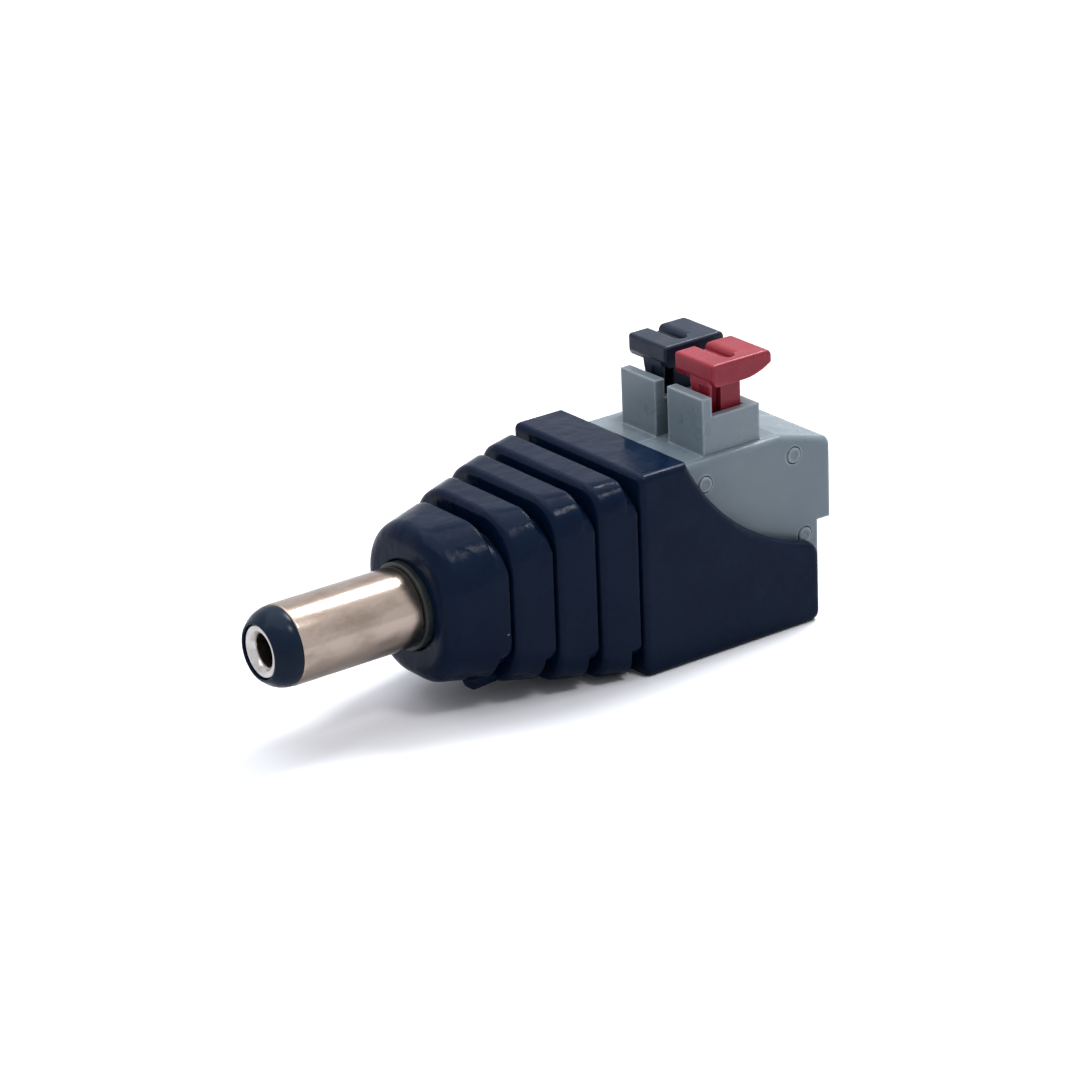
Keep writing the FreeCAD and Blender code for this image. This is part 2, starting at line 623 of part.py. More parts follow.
def side_cover():
    """Plate that closes the near housing, pressed over its four pegs."""
    inner = BLOCK_NEAR + COVER_THICKNESS
    plate = rounded_shoulder(profile_solid(BLOCK_NEAR, inner), BLOCK_NEAR)
    return plate.cut(peg_holes(BLOCK_NEAR - COVER_THICKNESS, inner + COVER_THICKNESS))


def head_face(near):
    """Side face of a button's head: short front lip, and a long thumb lip with a curved underside."""
    lip_base = HEAD_BASE + REAR_LIP_RISE
    corners = [vec(STEM_REAR, near, HEAD_BASE), vec(HEAD_FRONT + STEM_GROOVE_OFFSET, near, HEAD_BASE),
               vec(HEAD_FRONT, near, HEAD_TOP - FRONT_LIP_HEIGHT), vec(HEAD_FRONT, near, HEAD_TOP),
               vec(HEAD_REAR, near, HEAD_TOP), vec(HEAD_REAR, near, lip_base)]
    middle = (corners[0] + corners[-1]) * 0.5 + vec(0, 0, -REAR_LIP_SWELL)
    under = Part.Arc(corners[-1], middle, corners[0]).toShape()
    lines = [Part.makeLine(a, b) for a, b in zip(corners, corners[1:])]
    return Part.Face(Part.Wire(lines + [under]))


def plain_head(near):
    """A button's head before its slot is cut, with all but its lower edges softened."""
    head = head_face(near).extrude(vec(0, HEAD_WIDTH, 0))
    low = HEAD_TOP - FRONT_LIP_HEIGHT

    def is_rear_top(p):
        return p.z > HEAD_TOP - ON_PLANE and p.x > HEAD_REAR - ON_PLANE

    def is_soft(p):
        return p.z > HEAD_TOP - ON_PLANE or p.x > HEAD_REAR - ON_PLANE or (
            p.x < HEAD_FRONT + ON_PLANE and p.z > low - ON_PLANE)
    head = head.makeFillet(HEAD_REAR_ROUND, edges_where(head, is_rear_top))
    return head.makeFillet(HEAD_EDGE_ROUND, edges_where(head, is_soft))


def head_slot(near):
    """Round-bottomed slot across the head's top, open at the far side, with a round lip behind it."""
    radius = HEAD_SLOT_WIDTH / 2
    x0 = HEAD_FRONT + HEAD_SLOT_SETBACK
    x1 = x0 + HEAD_SLOT_WIDTH
    middle = x0 + radius
    bottom = HEAD_TOP - HEAD_SLOT_DEPTH + radius
    above = HEAD_TOP + radius
    y0 = near + HEAD_SLOT_WALL + radius
    y1 = near + 2 * HEAD_WIDTH
    lip_x = x1 + HEAD_SLOT_ROUND
    lip_z = HEAD_TOP - HEAD_SLOT_ROUND
    lip = block(middle, lip_x, y0, y1, lip_z, above).cut(cross_rod(lip_x, lip_z, y0, y1, HEAD_SLOT_ROUND))
    return [cross_rod(middle, bottom, y0, y1, radius), block(x0, x1, y0, y1, bottom, above),
            Part.makeSphere(radius, vec(middle, y0, bottom)),
            Part.makeCylinder(radius, above - bottom, vec(middle, y0, bottom)), lip]


def stem_grooves(middle, half_stem):
    """Upright groove in each side of the stem."""
    x = STEM_FRONT + STEM_GROOVE_OFFSET
    near = middle - half_stem
    far = middle + half_stem
    return [block(x, x + STEM_GROOVE_LENGTH, y - STEM_GROOVE_DEPTH, y + STEM_GROOVE_DEPTH,
                  CEILING, HEAD_BASE + FRONT_LIP_FALL) for y in (near, far)]


def stem_relief(middle):
    """What is taken off the stem above the tower: its leaning far side and a shallow front panel."""
    base = TOWER_TOP - STEM_GUIDE_DROP
    top_y = middle + HEAD_WIDTH / 2 - STEM_FAR_INSET
    base_y = top_y - STEM_FAR_LEAN
    beyond = middle + HEAD_WIDTH
    top = HEAD_BASE + REAR_LIP_RISE
    corners = [vec(STEM_FRONT - FRONT_LIP, top_y, top), vec(STEM_FRONT - FRONT_LIP, top_y, HEAD_BASE),
               vec(STEM_FRONT - FRONT_LIP, base_y, base), vec(STEM_FRONT - FRONT_LIP, beyond, base),
               vec(STEM_FRONT - FRONT_LIP, beyond, top)]
    side = Part.Face(Part.makePolygon(corners + corners[:1])).extrude(vec(2 * STEM_LENGTH, 0, 0))
    panel = block(STEM_FRONT - FRONT_LIP, STEM_FRONT + STEM_PANEL_DEPTH, middle - HEAD_WIDTH,
                  base_y - STEM_PANEL_EDGE, base, HEAD_BASE - STEM_PANEL_DEPTH)
    return [side, panel]


def button(y0):
    """Push button of the pole that starts at y0, from its head down to the spring."""
    middle = wire_axis(y0)
    half_stem = TOWER_SLOT_WIDTH / 2 - STEM_SIDE_FIT
    near = middle - half_stem
    far = y0 + STEM_FAR
    head_near = middle - HEAD_WIDTH / 2
    head = plain_head(head_near).cut(head_slot(head_near))
    shoulder_top = CEILING - SHOULDER_GAP
    shoulder_base = shoulder_top - SHOULDER_HEIGHT
    upper = block(STEM_FRONT, STEM_REAR, near, middle + half_stem, STEM_STEP, HEAD_BASE + REAR_LIP_RISE)
    lower = block(STEM_FRONT, STEM_REAR, near, far, shoulder_base, STEM_STEP)
    shoulder = block(SLOT_FRONT - SHOULDER_CATCH, SLOT_REAR + SHOULDER_CATCH, near, far,
                     shoulder_base, shoulder_top)
    foot = foot_face(near, shoulder_base).extrude(vec(0, far - near, 0))
    stem = fused([upper, lower]).cut(stem_relief(middle))
    return fused([head, stem, shoulder, foot]).cut(stem_grooves(middle, half_stem))


def leg_height(x):
    """Height of the top face of the spring's upper leg at x."""
    return LEG_START_Z + (LEG_TIP_Z - LEG_START_Z) * (x - SPRING_FRONT) / (LEG_TIP_X - SPRING_FRONT)


def foot_face(y, top):
    """Side face of the foot that bears on the spring's upper leg."""
    points = [vec(STEM_FRONT, y, top), vec(STEM_REAR, y, top),
              vec(STEM_REAR, y, leg_height(STEM_REAR) + SPRING_GAP),
              vec(STEM_FRONT, y, leg_height(STEM_FRONT) + SPRING_GAP)]
    return Part.Face(Part.makePolygon(points + points[:1]))


def red_button():
    """Button of the near pole."""
    return button(POLE_NEAR[0])


def black_button():
    """Button of the far pole."""
    return button(POLE_NEAR[1])


def contact_bar(y0):
    """Current bar of one pole: side strip, clamp plate over the wire, and front pin."""
    inner = y0 + BAR_INNER
    outer = inner + BAR_THICKNESS
    strip = block(BAR_FRONT, BAR_REAR, inner, outer, BAR_BASE, BAR_TOP)
    plate = block(PLATE_X, BAR_REAR, y0 + TOWER_SIDE_WALL, outer, BAR_TOP - BAR_THICKNESS, BAR_TOP)
    pin = block(PIN_X, BAR_FRONT, inner, outer, BAR_BASE, BAR_BASE + PIN_HEIGHT)
    return fused([strip, plate, pin])


def red_contact_bar():
    """Current bar of the near pole."""
    return contact_bar(POLE_NEAR[0])


def black_contact_bar():
    """Current bar of the far pole."""
    return contact_bar(POLE_NEAR[1])


def clamp_spring(y0):
    """Strip spring of one pole: flat on the floor, bent round in front, rising to the clamp plate."""
    near = y0 + TOWER_SIDE_WALL + SPRING_SIDE_GAP
    far = y0 + BAR_INNER - SPRING_SIDE_GAP
    floor_z = HOUSING_FLOOR + FACE_GAP
    floor_leg = block(SPRING_FRONT, SPRING_REAR, near, far, floor_z, floor_z + SPRING_THICKNESS)
    bend_z = (floor_z + LEG_START_Z) / 2
    outer_r = (LEG_START_Z - floor_z) / 2
    bend = cross_rod(SPRING_FRONT, bend_z, near, far, outer_r)
    bend = bend.cut(cross_rod(SPRING_FRONT, bend_z, near, far, outer_r - SPRING_THICKNESS))
    bend = bend.cut(block(SPRING_FRONT, SPRING_FRONT + 2 * outer_r, near, far, floor_z - outer_r,
                          LEG_START_Z + outer_r))
    corners = [vec(SPRING_FRONT, near, LEG_START_Z), vec(LEG_TIP_X, near, LEG_TIP_Z),
               vec(LEG_TIP_X, near, LEG_TIP_Z - SPRING_THICKNESS),
               vec(SPRING_FRONT, near, LEG_START_Z - SPRING_THICKNESS)]
    leg = Part.Face(Part.makePolygon(corners + corners[:1])).extrude(vec(0, far - near, 0))
    return fused([floor_leg, bend, leg])


def red_clamp_spring():
    """Spring of the near pole."""
    return clamp_spring(POLE_NEAR[0])


def black_clamp_spring():
    """Spring of the far pole."""
    return clamp_spring(POLE_NEAR[1])


def positive_link():
    """Wire from the centre contact's tag to the near pole."""
    return link(-1, POLE_NEAR[0])


def negative_link():
    """Wire from the sleeve's tag to the far pole."""
    return link(1, POLE_NEAR[1])


NODES = (shell, barrel_sleeve, tip_insulator, centre_contact, rear_collar, insulating_washer, sleeve_tag,
         centre_tag, positive_link, negative_link, near_housing, far_housing, side_cover, red_button,
         black_button, red_contact_bar, black_contact_bar, red_clamp_spring, black_clamp_spring)


def main():
    """Builds every piece and writes it to parts/ under its own name."""
    os.makedirs("parts", exist_ok=True)
    for make in NODES:
        shape = make()
        shape.exportStep("parts/" + make.__name__ + ".step")
        print(make.__name__, len(shape.Solids), round(shape.Volume, 2), shape.isValid())


main()
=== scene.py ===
"""Looks of a barrel plug with a push-button wire clamp block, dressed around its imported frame."""

import logging
import math
from dataclasses import dataclass
from enum import Enum

import bmesh
import bpy
from mathutils import Matrix, Vector


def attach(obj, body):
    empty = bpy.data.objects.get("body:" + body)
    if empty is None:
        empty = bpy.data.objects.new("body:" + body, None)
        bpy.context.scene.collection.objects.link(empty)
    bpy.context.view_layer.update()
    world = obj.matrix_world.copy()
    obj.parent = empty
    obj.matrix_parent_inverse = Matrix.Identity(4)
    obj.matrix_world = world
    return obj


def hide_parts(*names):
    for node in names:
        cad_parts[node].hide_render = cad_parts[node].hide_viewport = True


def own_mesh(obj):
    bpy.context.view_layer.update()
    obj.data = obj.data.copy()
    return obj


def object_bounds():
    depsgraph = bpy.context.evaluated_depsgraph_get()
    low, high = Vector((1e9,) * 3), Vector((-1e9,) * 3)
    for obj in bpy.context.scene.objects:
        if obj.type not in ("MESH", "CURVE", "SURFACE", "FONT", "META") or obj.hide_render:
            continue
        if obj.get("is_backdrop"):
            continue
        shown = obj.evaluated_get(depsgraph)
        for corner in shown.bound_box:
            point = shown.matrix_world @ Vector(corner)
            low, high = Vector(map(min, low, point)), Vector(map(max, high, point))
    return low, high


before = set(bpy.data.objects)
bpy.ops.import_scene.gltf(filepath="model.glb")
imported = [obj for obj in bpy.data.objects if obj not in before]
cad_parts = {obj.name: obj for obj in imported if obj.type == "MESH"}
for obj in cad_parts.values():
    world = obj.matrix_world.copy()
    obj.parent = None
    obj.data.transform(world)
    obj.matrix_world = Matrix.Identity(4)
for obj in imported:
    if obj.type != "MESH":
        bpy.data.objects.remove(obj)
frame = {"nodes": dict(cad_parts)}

MM = 0.001
NEAR = 0.001
MERGE = 0.0001
FULL_TURN = 2 * math.pi
CREASE = math.radians(40)
BARREL_AXIS = (1.0, 0.0, 0.0)
ORIGIN = (0.0, 0.0, 0.0)

# Ranges of a value: the whole of it, and the parts that a noise mostly lies in.
WHOLE = (0.0, 1.0)
NOISE_WIDE = (0.3, 0.7)
NOISE_MIDDLE = (0.35, 0.65)
# The next two shape the lighter strip along sharp edges: partly wear, partly a painted highlight.
NOISE_CORE = (0.4, 0.6)
WEAR_AND_HIGHLIGHT_NOISE = (0.3, 0.55)
WEAR_AND_HIGHLIGHT_SHARE = (0.3, 1.0)
STAIN_NOISE = (0.45, 0.65)

# Edge finding: rays of a softened normal, and its match with the flat one off and on an edge.
EDGE_RAYS = 6
EDGE_MATCH = (0.99, 0.85)

# Share of a speck that has its full colour.
SPECK_CORE = 0.6

# Places of the colour sockets of a Mix node.
MIX_LOW = 6
MIX_HIGH = 7
MIX_RESULT = 2

LOG = logging.getLogger("plug")
Colour = tuple[float, float, float]
Point = tuple[float, float, float]


class Press(Enum):
    """The two poles, by the colour of their buttons."""

    RED = "red"
    BLACK = "black"

    def joint(self) -> str:
        """Name of the pole's joint in the frame."""
        return self.value + "_press"


class Slot(Enum):
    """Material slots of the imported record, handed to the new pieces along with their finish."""

    NICKEL = "nickel_plate"
    TIP = "black_tip"
    CONTACT = "contact_silver"
    COLLAR = "black_collar"
    NYLON = "grey_nylon"
    STEEL = "spring_steel"


class Shade:
    """A material under construction: its node tree and its main shader."""

    def __init__(self, name: str) -> None:
        """Starts a material with one principled shader.

        Args:
            name: name of the material.
        """
        self.material = bpy.data.materials.new(name)
        self.material.use_nodes = True
        self.nodes = self.material.node_tree.nodes
        self.links = self.material.node_tree.links
        self.shader = self.nodes["Principled BSDF"]
        self.place = self.nodes.new("ShaderNodeTexCoord").outputs["Object"]

    def set(self, **sockets: object) -> None:
        """Sets sockets of the main shader, with spaces written as underscores."""
        for name, value in sockets.items():
            self.shader.inputs[name.replace("_", " ")].default_value = value

    def feed(self, name: str, source: bpy.types.NodeSocket) -> None:
        """Links a socket of the main shader to a source."""
        self.links.new(source, self.shader.inputs[name])

    def mapped(self, scale: Point, turn: Point = (0.0, 0.0, 0.0)) -> bpy.types.NodeSocket:
        """Object coordinates, scaled and turned.

        Args:
            scale: scale along each axis, per metre.
            turn: turn about each axis, in radians.

        Returns:
            The vector output of a Mapping node.
        """
        node = self.nodes.new("ShaderNodeMapping")
        node.inputs["Scale"].default_value = scale
        node.inputs["Rotation"].default_value = turn
        self.links.new(self.place, node.inputs["Vector"])
        return node.outputs["Vector"]

    def noise(self, scale: float, detail: float = 3.0, rough: float = 0.5,
              vector: bpy.types.NodeSocket | None = None) -> bpy.types.NodeSocket:
        """Noise over the piece.

        Args:
            scale: how many lumps a metre holds.
            detail: octaves of finer noise.
            rough: share that each octave keeps.
            vector: coordinates, or None for Object coordinates.

        Returns:
            The noise value, from about 0.3 to 0.7.
        """
        node = self.nodes.new("ShaderNodeTexNoise")
        node.inputs["Scale"].default_value = scale
        node.inputs["Detail"].default_value = detail
        node.inputs["Roughness"].default_value = rough
        self.links.new(vector or self.place, node.inputs["Vector"])
        return node.outputs["Fac"]

    def specks(self, scale: float, reach: float) -> bpy.types.NodeSocket:
        """Scattered dots.

        Args:
            scale: how many cells a metre holds.
            reach: radius of a dot as a share of its cell.

        Returns:
            1 in a dot and 0 outside it.
        """
        node = self.nodes.new("ShaderNodeTexVoronoi")
        node.inputs["Scale"].default_value = scale
        self.links.new(self.place, node.inputs["Vector"])
        return self.span(node.outputs["Distance"], (reach, SPECK_CORE * reach), WHOLE)

    def span(self, source: bpy.types.NodeSocket, given: tuple[float, float],
             wanted: tuple[float, float]) -> bpy.types.NodeSocket:
        """Maps one range of a value to another and holds it there.

        Args:
            source: the value.
            given: range of the source.
            wanted: range of the result.

        Returns:
            The mapped value.
        """
        node = self.nodes.new("ShaderNodeMapRange")
        node.inputs["From Min"].default_value, node.inputs["From Max"].default_value = given
        node.inputs["To Min"].default_value, node.inputs["To Max"].default_value = wanted
        self.links.new(source, node.inputs["Value"])
        return node.outputs["Result"]

    def math(self, operation: str, a: bpy.types.NodeSocket,
             b: bpy.types.NodeSocket | float) -> bpy.types.NodeSocket:
        """One arithmetic step.

        Args:
            operation: name of the Math node's operation.
            a: first value.
            b: second value, as a socket or a number.

        Returns:
            The result.
        """
        node = self.nodes.new("ShaderNodeMath")
        node.operation = operation
        self.links.new(a, node.inputs[0])
        if isinstance(b, float):
            node.inputs[1].default_value = b
        else:
            self.links.new(b, node.inputs[1])
        return node.outputs["Value"]

    def blend(self, share: bpy.types.NodeSocket, low: Colour | bpy.types.NodeSocket,
              high: Colour) -> bpy.types.NodeSocket:
        """Mixes two colours.

        Args:
            share: 0 for the low colour and 1 for the high one.
            low: colour or socket at 0.
            high: colour at 1.

        Returns:
            The mixed colour.
        """
        node = self.nodes.new("ShaderNodeMix")
        node.data_type = "RGBA"
        self.links.new(share, node.inputs["Factor"])
        if isinstance(low, tuple):
            node.inputs[MIX_LOW].default_value = (*low, 1.0)
        else:
            self.links.new(low, node.inputs[MIX_LOW])
        node.inputs[MIX_HIGH].default_value = (*high, 1.0)
        return node.outputs[MIX_RESULT]

    def softened(self, radius: float) -> bpy.types.NodeSocket:
        """Rounds the surface's edges for the light alone.

        Args:
            radius: radius of the rounding in metres.

        Returns:
            The softened normal.
        """
        soft = self.nodes.new("ShaderNodeBevel")
        soft.samples = EDGE_RAYS
        soft.inputs["Radius"].default_value = radius
        return soft.outputs["Normal"]

    def edges(self, radius: float) -> bpy.types.NodeSocket:
        """Finds the strip along the sharp edges.

        Args:
            radius: width of the strip in metres.

        Returns:
            1 on the edges and 0 away from them.
        """
        place = self.nodes.new("ShaderNodeNewGeometry")
        node = self.nodes.new("ShaderNodeVectorMath")
        node.operation = "DOT_PRODUCT"
        self.links.new(self.softened(radius), node.inputs[0])
        self.links.new(place.outputs["True Normal"], node.inputs[1])
        return self.span(node.outputs["Value"], EDGE_MATCH, WHOLE)

    def relief(self, layers: list[tuple[bpy.types.NodeSocket, float]], edge: float) -> None:
        """Bump layers on softened edges.

        Args:
            layers: (height from 0 to 1, depth in metres) of each layer.
            edge: radius of the softened edges in metres, or 0 for none.
        """
        normal = self.softened(edge) if edge else None
        for height, depth in layers:
            bump = self.nodes.new("ShaderNodeBump")
            bump.inputs["Strength"].default_value = 1.0
            bump.inputs["Distance"].default_value = depth
            self.links.new(height, bump.inputs["Height"])
            if normal:
                self.links.new(normal, bump.inputs["Normal"])
            normal = bump.outputs["Normal"]
        if normal:
            self.feed("Normal", normal)


class Form:
    """A mesh under construction, in mm, and the piece that it becomes."""

    def __init__(self, name: str) -> None:
        """Starts an empty mesh for a piece of that name."""
        self.name = name
        self.mesh = bmesh.new()

    def turned(self, outline: tuple[tuple[float, float], ...], axis: Point, centre: Point,
               steps: int = 96) -> None:
        """Spins a closed outline into a ring-shaped solid.

        Args:
            outline: (place along the axis, radius) of each corner.
            axis: direction of the spin's axis.
            centre: a point on that axis.
            steps: how many steps a full turn takes.
        """
        along = Vector(axis)
        side = along.orthogonal().normalized()
        corners = [self.mesh.verts.new(Vector(centre) + along * place + side * radius)
                   for place, radius in outline]
        edges = [self.mesh.edges.new(pair) for pair in zip(corners, corners[1:] + corners[:1])]
        bmesh.ops.spin(self.mesh, geom=corners + edges, cent=centre, axis=axis, angle=FULL_TURN,
                       steps=steps, use_merge=True)

    def soften(self, place: float, radius: float, offset: float, centre: Point, axis: Point,
               segments: int = 6) -> None:
        """Rounds one circular edge of a turned solid.

        Args:
            place: where the edge lies along the axis.
            radius: radius of the edge.
            offset: size of the rounding.
            centre: a point on the axis.
            axis: direction of the axis.
            segments: how many faces the rounding has.
        """
        along = Vector(axis)

        def lies(vert: bmesh.types.BMVert) -> bool:
            """Tells whether a point of the mesh lies on the circle.

            Args:
                vert: the point.

            Returns:
                True on the circle.
            """
            way = vert.co - Vector(centre)
            far = way.dot(along)
            return abs(far - place) < NEAR and abs((way - along * far).length - radius) < NEAR

        edges = [edge for edge in self.mesh.edges if lies(edge.verts[0]) and lies(edge.verts[1])]
        bmesh.ops.bevel(self.mesh, geom=edges, offset=offset, offset_type="OFFSET", affect="EDGES",
                        segments=segments, profile=0.5, material=-1)

    def finish(self, material: bpy.types.Material, slot: Slot | None = None) -> bpy.types.Object:
        """Turns the mesh into a piece that rides on the body.

        Args:
            material: finish of the piece.
            slot: material slot of the record, or None; not used.

        Returns:
            The piece, at the origin, in metres.
        """
        bmesh.ops.remove_doubles(self.mesh, verts=self.mesh.verts, dist=MERGE)
        bmesh.ops.recalc_face_normals(self.mesh, faces=self.mesh.faces)
        bmesh.ops.scale(self.mesh, verts=self.mesh.verts, vec=(MM, MM, MM))
        for face in self.mesh.faces:
            face.smooth = True
        for edge in self.mesh.edges:
            edge.smooth = edge.calc_face_angle(0.0) < CREASE
        data = bpy.data.meshes.new(self.name)
        self.mesh.to_mesh(data)
        faces = len(self.mesh.faces)
        self.mesh.free()
        data.materials.append(material)
        piece = bpy.data.objects.new(self.name, data)
        bpy.context.scene.collection.objects.link(piece)
        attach(piece, "body")
        LOG.info("made %s with %d faces", self.name, faces)
        return piece


@dataclass(frozen=True)
class Plastic:
    """Moulded plastic: mottled colour, satin skin with fine grain, a few light specks.

    Attributes:
        name: name of the material.
        colour: main colour.
        second: colour that the mottling drifts to.
        roughness: middle roughness.
        gloss: specular level.
        grain: depth of the fine grain, in mm.
        waviness: depth of the broad unevenness, in mm.
        edge: radius of the softened edges, in mm.
        speck: colour of the specks, or None for none.
        clear: share of light that passes under the skin.
        patchy: how far the roughness drifts each way.
        ripple: depth of the finer unevenness that breaks up reflections, in mm.
        edge_wear_and_highlight: colour along the sharp edges, partly wear and partly a painted highlight, or
            None for no change.
        edge_wear_and_highlight_width: width of the strip of wear and painted highlight, as a share of the
            softened edge.
        mottles: lumps of the mottling and the broad unevenness, per metre.
        grains: grains per metre.
        smears: patches of roughness per metre.
        ripples: ripples per metre.
        cells: cells per metre that can hold a speck.
        speck_size: radius of a speck as a share of its cell.
        scatter: how far each colour passes under the skin, as a share of scatter_depth.
        scatter_depth: how deep light passes under the skin, in mm.
    """

    name: str
    colour: Colour
    second: Colour
    roughness: float = 0.4
    gloss: float = 0.4
    grain: float = 0.002
    waviness: float = 0.01
    edge: float = 0.06
    speck: Colour | None = None
    clear: float = 0.0
    patchy: float = 0.08
    ripple: float = 0.0
    edge_wear_and_highlight: Colour | None = None
    edge_wear_and_highlight_width: float = 2.4
    mottles: float = 260.0
    grains: float = 5200.0
    smears: float = 620.0
    ripples: float = 1000.0
    cells: float = 190.0
    speck_size: float = 0.022
    scatter: Colour = (1.0, 0.95, 0.8)
    scatter_depth: float = 0.6

    def make(self) -> bpy.types.Material:
        """Builds the material.

        Returns:
            The material.
        """
        shade = Shade(self.name)
        broad = shade.noise(self.mottles, detail=4.0, rough=0.6)
        fine = shade.noise(self.grains, detail=2.0)
        colour = shade.blend(shade.span(broad, NOISE_MIDDLE, WHOLE), self.colour, self.second)
        # Lighter strip along the sharp edges, broken up by the mottling: partly wear, partly a painted
        # highlight.
        if self.edge_wear_and_highlight:
            patches = shade.span(broad, WEAR_AND_HIGHLIGHT_NOISE, WEAR_AND_HIGHLIGHT_SHARE)
            strip = shade.edges(self.edge_wear_and_highlight_width * self.edge * MM)
            colour = shade.blend(shade.math("MULTIPLY", strip, patches), colour, self.edge_wear_and_highlight)
        if self.speck:
            colour = shade.blend(shade.specks(self.cells, self.speck_size), colour, self.speck)
        shade.feed("Base Color", colour)
        smear = shade.noise(self.smears, detail=5.0, rough=0.65)
        drift = (self.roughness - self.patchy, self.roughness + self.patchy)
        shade.feed("Roughness", shade.span(smear, NOISE_CORE, drift))
        shade.set(Specular_IOR_Level=self.gloss)
        if self.clear:
            shade.set(Subsurface_Weight=self.clear, Subsurface_Radius=self.scatter,
                      Subsurface_Scale=self.scatter_depth * MM)
        layers = [(broad, self.waviness * MM), (fine, self.grain * MM)]
        if self.ripple:
            layers.append((shade.noise(self.ripples, detail=1.0), self.ripple * MM))
        shade.relief(layers, self.edge * MM)
        return shade.material


@dataclass(frozen=True)
class Plate:
    """Plated or bare metal: fine draw lines, cloudy handling marks, a few stains.

    Attributes:
        name: name of the material.
        colour: colour of the clean metal.
        stain: colour of the handling marks.
        roughness: roughness of the clean metal.
        lines: stretch of the draw lines along each axis.
        smear: stretch of the handling marks along each axis.
        line_depth: depth of the draw lines, in mm.
        ripple: depth of the broad unevenness that breaks up reflections, in mm.
        edge: radius of the softened edges, in mm.
        clouds: handling marks per metre.
        draws: draw lines per metre, before their stretch.
        smoother: how far the roughness goes down between the marks.
        rougher: how far it goes up in them.
    """

    name: str
    colour: Colour
    stain: Colour
    roughness: float = 0.2
    lines: Point = (1.0, 14.0, 14.0)
    smear: Point = (0.45, 1.0, 1.0)
    line_depth: float = 0.0008
    ripple: float = 0.0
    edge: float = 0.03
    clouds: float = 620.0
    draws: float = 900.0
    smoother: float = 0.03
    rougher: float = 0.05

    def make(self) -> bpy.types.Material:
        """Builds the material.

        Returns:
            The material.
        """
        shade = Shade(self.name)
        cloud = shade.noise(self.clouds, detail=5.0, rough=0.6, vector=shade.mapped(self.smear))
        drawn = shade.noise(self.draws, detail=3.0, rough=0.6, vector=shade.mapped(self.lines))
        marks = shade.span(cloud, STAIN_NOISE, WHOLE)
        shade.feed("Base Color", shade.blend(marks, self.colour, self.stain))
        drift = (self.roughness - self.smoother, self.roughness + self.rougher)
        shade.feed("Roughness", shade.span(cloud, NOISE_WIDE, drift))
        shade.set(Metallic=1.0)
        layers = [(drawn, self.line_depth * MM)]
        if self.ripple:
            layers.append((cloud, self.ripple * MM))
        shade.relief(layers, self.edge * MM)
        return shade.material


@dataclass(frozen=True)
class Finishes:
    """Every finish of the plug, by the slot or place that it is for."""

    moulding: Plastic = Plastic("moulding", (0.001, 0.0068, 0.025), (0.003, 0.011, 0.031), 0.19, 0.08,
                                grain=0.0012, waviness=0.08, edge=0.22, speck=(0.2, 0.22, 0.26),
                                patchy=0.08, ripple=0.03)
    tip: Plastic = Plastic("tip", (0.002, 0.009, 0.026), (0.004, 0.013, 0.030), 0.24, 0.12, waviness=0.01)
    collar: Plastic = Plastic("collar", (0.012, 0.017, 0.020), (0.024, 0.030, 0.028), 0.35, 0.3)
    # The lighter edge colours below are partly wear and partly a painted highlight along the edges.
    nylon: Plastic = Plastic("nylon", (0.165, 0.215, 0.255), (0.19, 0.235, 0.265), 0.34, 0.5,
                             grain=0.003, waviness=0.03, edge=0.14, clear=0.15, edge_wear_and_highlight=(0.40, 0.45, 0.49))
    cover: Plastic = Plastic("cover", (0.138, 0.184, 0.222), (0.165, 0.207, 0.236), 0.36, 0.45,
                             grain=0.003, waviness=0.04, edge=0.14, clear=0.15, edge_wear_and_highlight=(0.40, 0.45, 0.49))
    red: Plastic = Plastic("red", (0.245, 0.010, 0.025), (0.29, 0.0175, 0.034), 0.34, 0.3,
                           waviness=0.02, edge=0.12, clear=0.1, edge_wear_and_highlight=(0.42, 0.045, 0.065))
    black: Plastic = Plastic("black", (0.005, 0.0125, 0.032), (0.009, 0.0175, 0.038), 0.36, 0.215,
                             waviness=0.02, edge=0.12, edge_wear_and_highlight=(0.03, 0.04, 0.055))
    board: Plastic = Plastic("board", (0.24, 0.14, 0.07), (0.3, 0.19, 0.1), 0.6, 0.3)
    nickel: Plate = Plate("nickel", (0.45, 0.366, 0.306), (0.315, 0.246, 0.2), 0.2,
                          line_depth=0.002, ripple=0.012)
    mouth: Plate = Plate("mouth", (0.6, 0.57, 0.55), (0.44, 0.415, 0.395), 0.18)
    tin: Plate = Plate("tin", (0.66, 0.65, 0.62), (0.5, 0.48, 0.44), 0.3)
    copper: Plate = Plate("copper", (0.62, 0.6, 0.58), (0.55, 0.4, 0.3), 0.28)
    steel: Plate = Plate("steel", (0.55, 0.55, 0.56), (0.42, 0.42, 0.43), 0.25)

    def dress(self, nodes: dict[str, bpy.types.Object]) -> dict[str, bpy.types.Material]:
        """Gives each CAD node its material.

        Args:
            nodes: the frame's nodes by name.

        Returns:
            The material of each finish by its field name.
        """
        made = {name: getattr(self, name).make() for name in self.__dataclass_fields__}
        wanted = {
            "shell": "moulding", "barrel_sleeve": "nickel", "tip_insulator": "tip",
            "centre_contact": "mouth", "rear_collar": "collar", "insulating_washer": "board",
            "sleeve_tag": "tin", "centre_tag": "tin", "positive_link": "copper",
            "negative_link": "copper", "near_housing": "nylon", "far_housing": "nylon",
            "side_cover": "cover", "red_button": "red", "black_button": "black",
            "red_contact_bar": "tin", "black_contact_bar": "tin",
            "red_clamp_spring": "steel", "black_clamp_spring": "steel",
        }
        for node, finish in wanted.items():
            for place in nodes[node].material_slots:
                place.material = made[finish]
            LOG.info("dressed %s in %s", node, finish)
        return made


